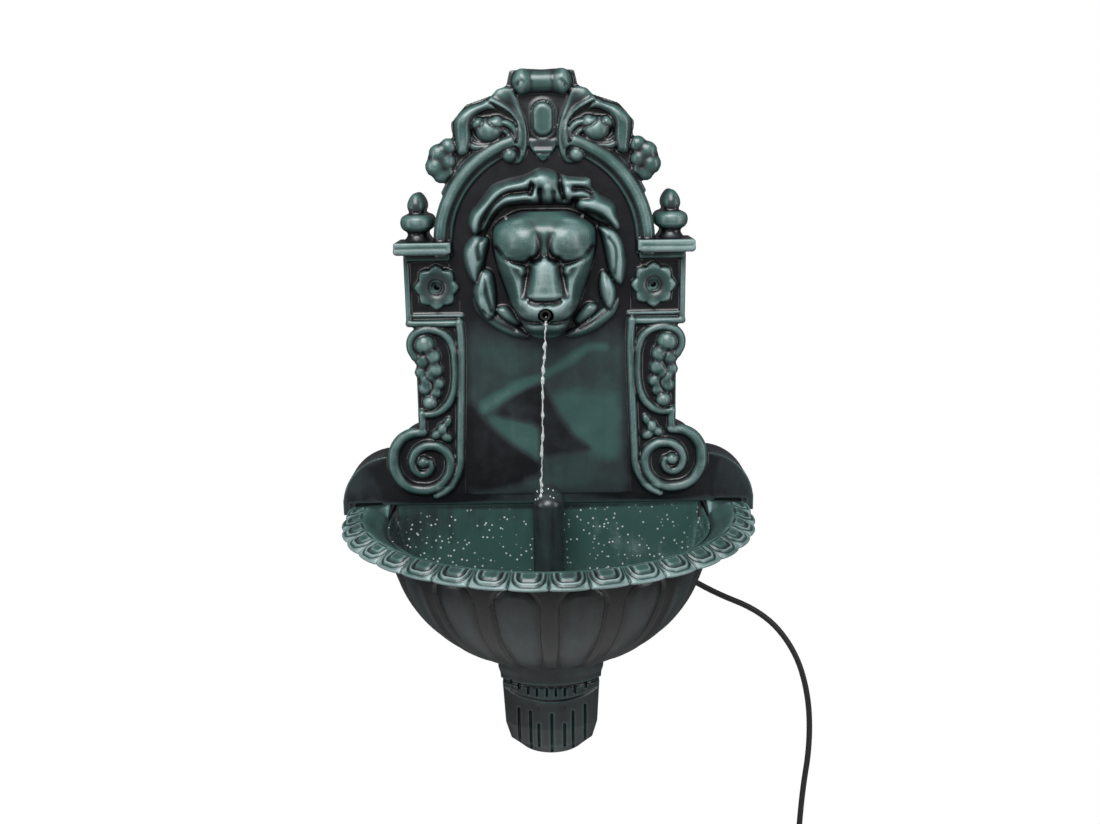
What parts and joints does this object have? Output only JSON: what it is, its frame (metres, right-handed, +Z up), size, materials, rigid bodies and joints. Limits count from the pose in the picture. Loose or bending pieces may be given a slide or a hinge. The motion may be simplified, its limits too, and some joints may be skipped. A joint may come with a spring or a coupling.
{
  "type": "garden wall fountain",
  "caption": "Wall-hung garden fountain: lion mask spout on a scrolled panel, half-round fluted basin, bracket and small pump on a mains lead.",
  "frame": {"origin": "midway between the two wall screw holes, on the plane of the house wall", "axes": "+Z up, +Y into the wall, the lion looks along -Y, +X to the viewer's right"},
  "size_m": [0.494, 0.2695, 0.96],
  "materials": {
    "panel_plastic": "satin, dry-brushed verdigris over charcoal",
    "mask_plastic": "satin, dry-brushed verdigris over charcoal",
    "basin_plastic": "satin, dry-brushed verdigris over charcoal",
    "cover_plastic": "wet gloss, verdigris over charcoal",
    "pendant_plastic": "satin, dry-brushed verdigris over charcoal",
    "screw_steel": "zinc plated",
    "nozzle_plastic": "black moulded",
    "clear_pvc": "clear soft PVC",
    "clip_plastic": "black moulded",
    "pump_plastic": "black moulded",
    "lid_plastic": "black moulded",
    "core_steel": "laminated, varnished",
    "copper_wire": "enamelled copper winding",
    "resin": "potting resin",
    "ceramic": "polished ceramic",
    "bush_rubber": "soft black",
    "ferrite": "sintered ferrite",
    "impeller_plastic": "white moulded",
    "foam": "open-cell foam",
    "knob_plastic": "black moulded",
    "cup_rubber": "soft black",
    "cord_rubber": "black rubber sheath",
    "tie_plastic": "black strap",
    "plug_rubber": "black moulded",
    "pin_metal": "nickel plated"
  },
  "bodies": {
    "fountain": {"back_panel": "panel_plastic", "lion_mask": "mask_plastic", "mask_screws": "screw_steel", "spout_nozzle": "nozzle_plastic", "water_hose": "clear_pvc", "hose_clips": "clip_plastic", "basin": "basin_plastic", "basin_screws": "screw_steel", "pendant": "pendant_plastic", "pendant_screws": "screw_steel", "pump_housing": "pump_plastic", "stator_core": "core_steel", "stator_coil": "copper_wire", "potting_fill": "resin", "rotor_shaft": "ceramic", "shaft_bushes": "bush_rubber", "chamber_lid": "lid_plastic", "suction_cups": "cup_rubber", "cord_gland": "cord_rubber", "pump_lead": "cord_rubber", "cord_grommet": "cup_rubber", "mains_cord": "cord_rubber", "cord_coil": "cord_rubber", "cord_tail": "cord_rubber", "cord_tie": "tie_plastic", "mains_plug": "plug_rubber", "plug_pins": "pin_metal"},
    "hose_cover": {"hose_cover": "cover_plastic"},
    "rotor": {"rotor_magnet": "ferrite", "impeller": "impeller_plastic"},
    "filter_cover": {"filter_cover": "pump_plastic", "filter_sponge": "foam"},
    "flow_regulator": {"flow_regulator": "knob_plastic"}
  },
  "joints": [
    {"name": "hose_cover_lift", "type": "slide", "parent": "fountain", "child": "hose_cover", "axis": [0, 0, 1], "range_m": [0, 0.09]},
    {"name": "impeller_spin", "type": "hinge", "parent": "fountain", "child": "rotor", "pos_m": [-0.004, 0, -0.328], "axis": [0, 1, 0], "continuous": true},
    {"name": "filter_cover_pull", "type": "slide", "parent": "fountain", "child": "filter_cover", "axis": [0, -1, 0], "range_m": [0, 0.012]},
    {"name": "flow_regulator_turn", "type": "hinge", "parent": "filter_cover", "child": "flow_regulator", "pos_m": [-0.004, 0, -0.328], "axis": [0, 1, 0], "range_deg": [0, 90]}
  ]
}
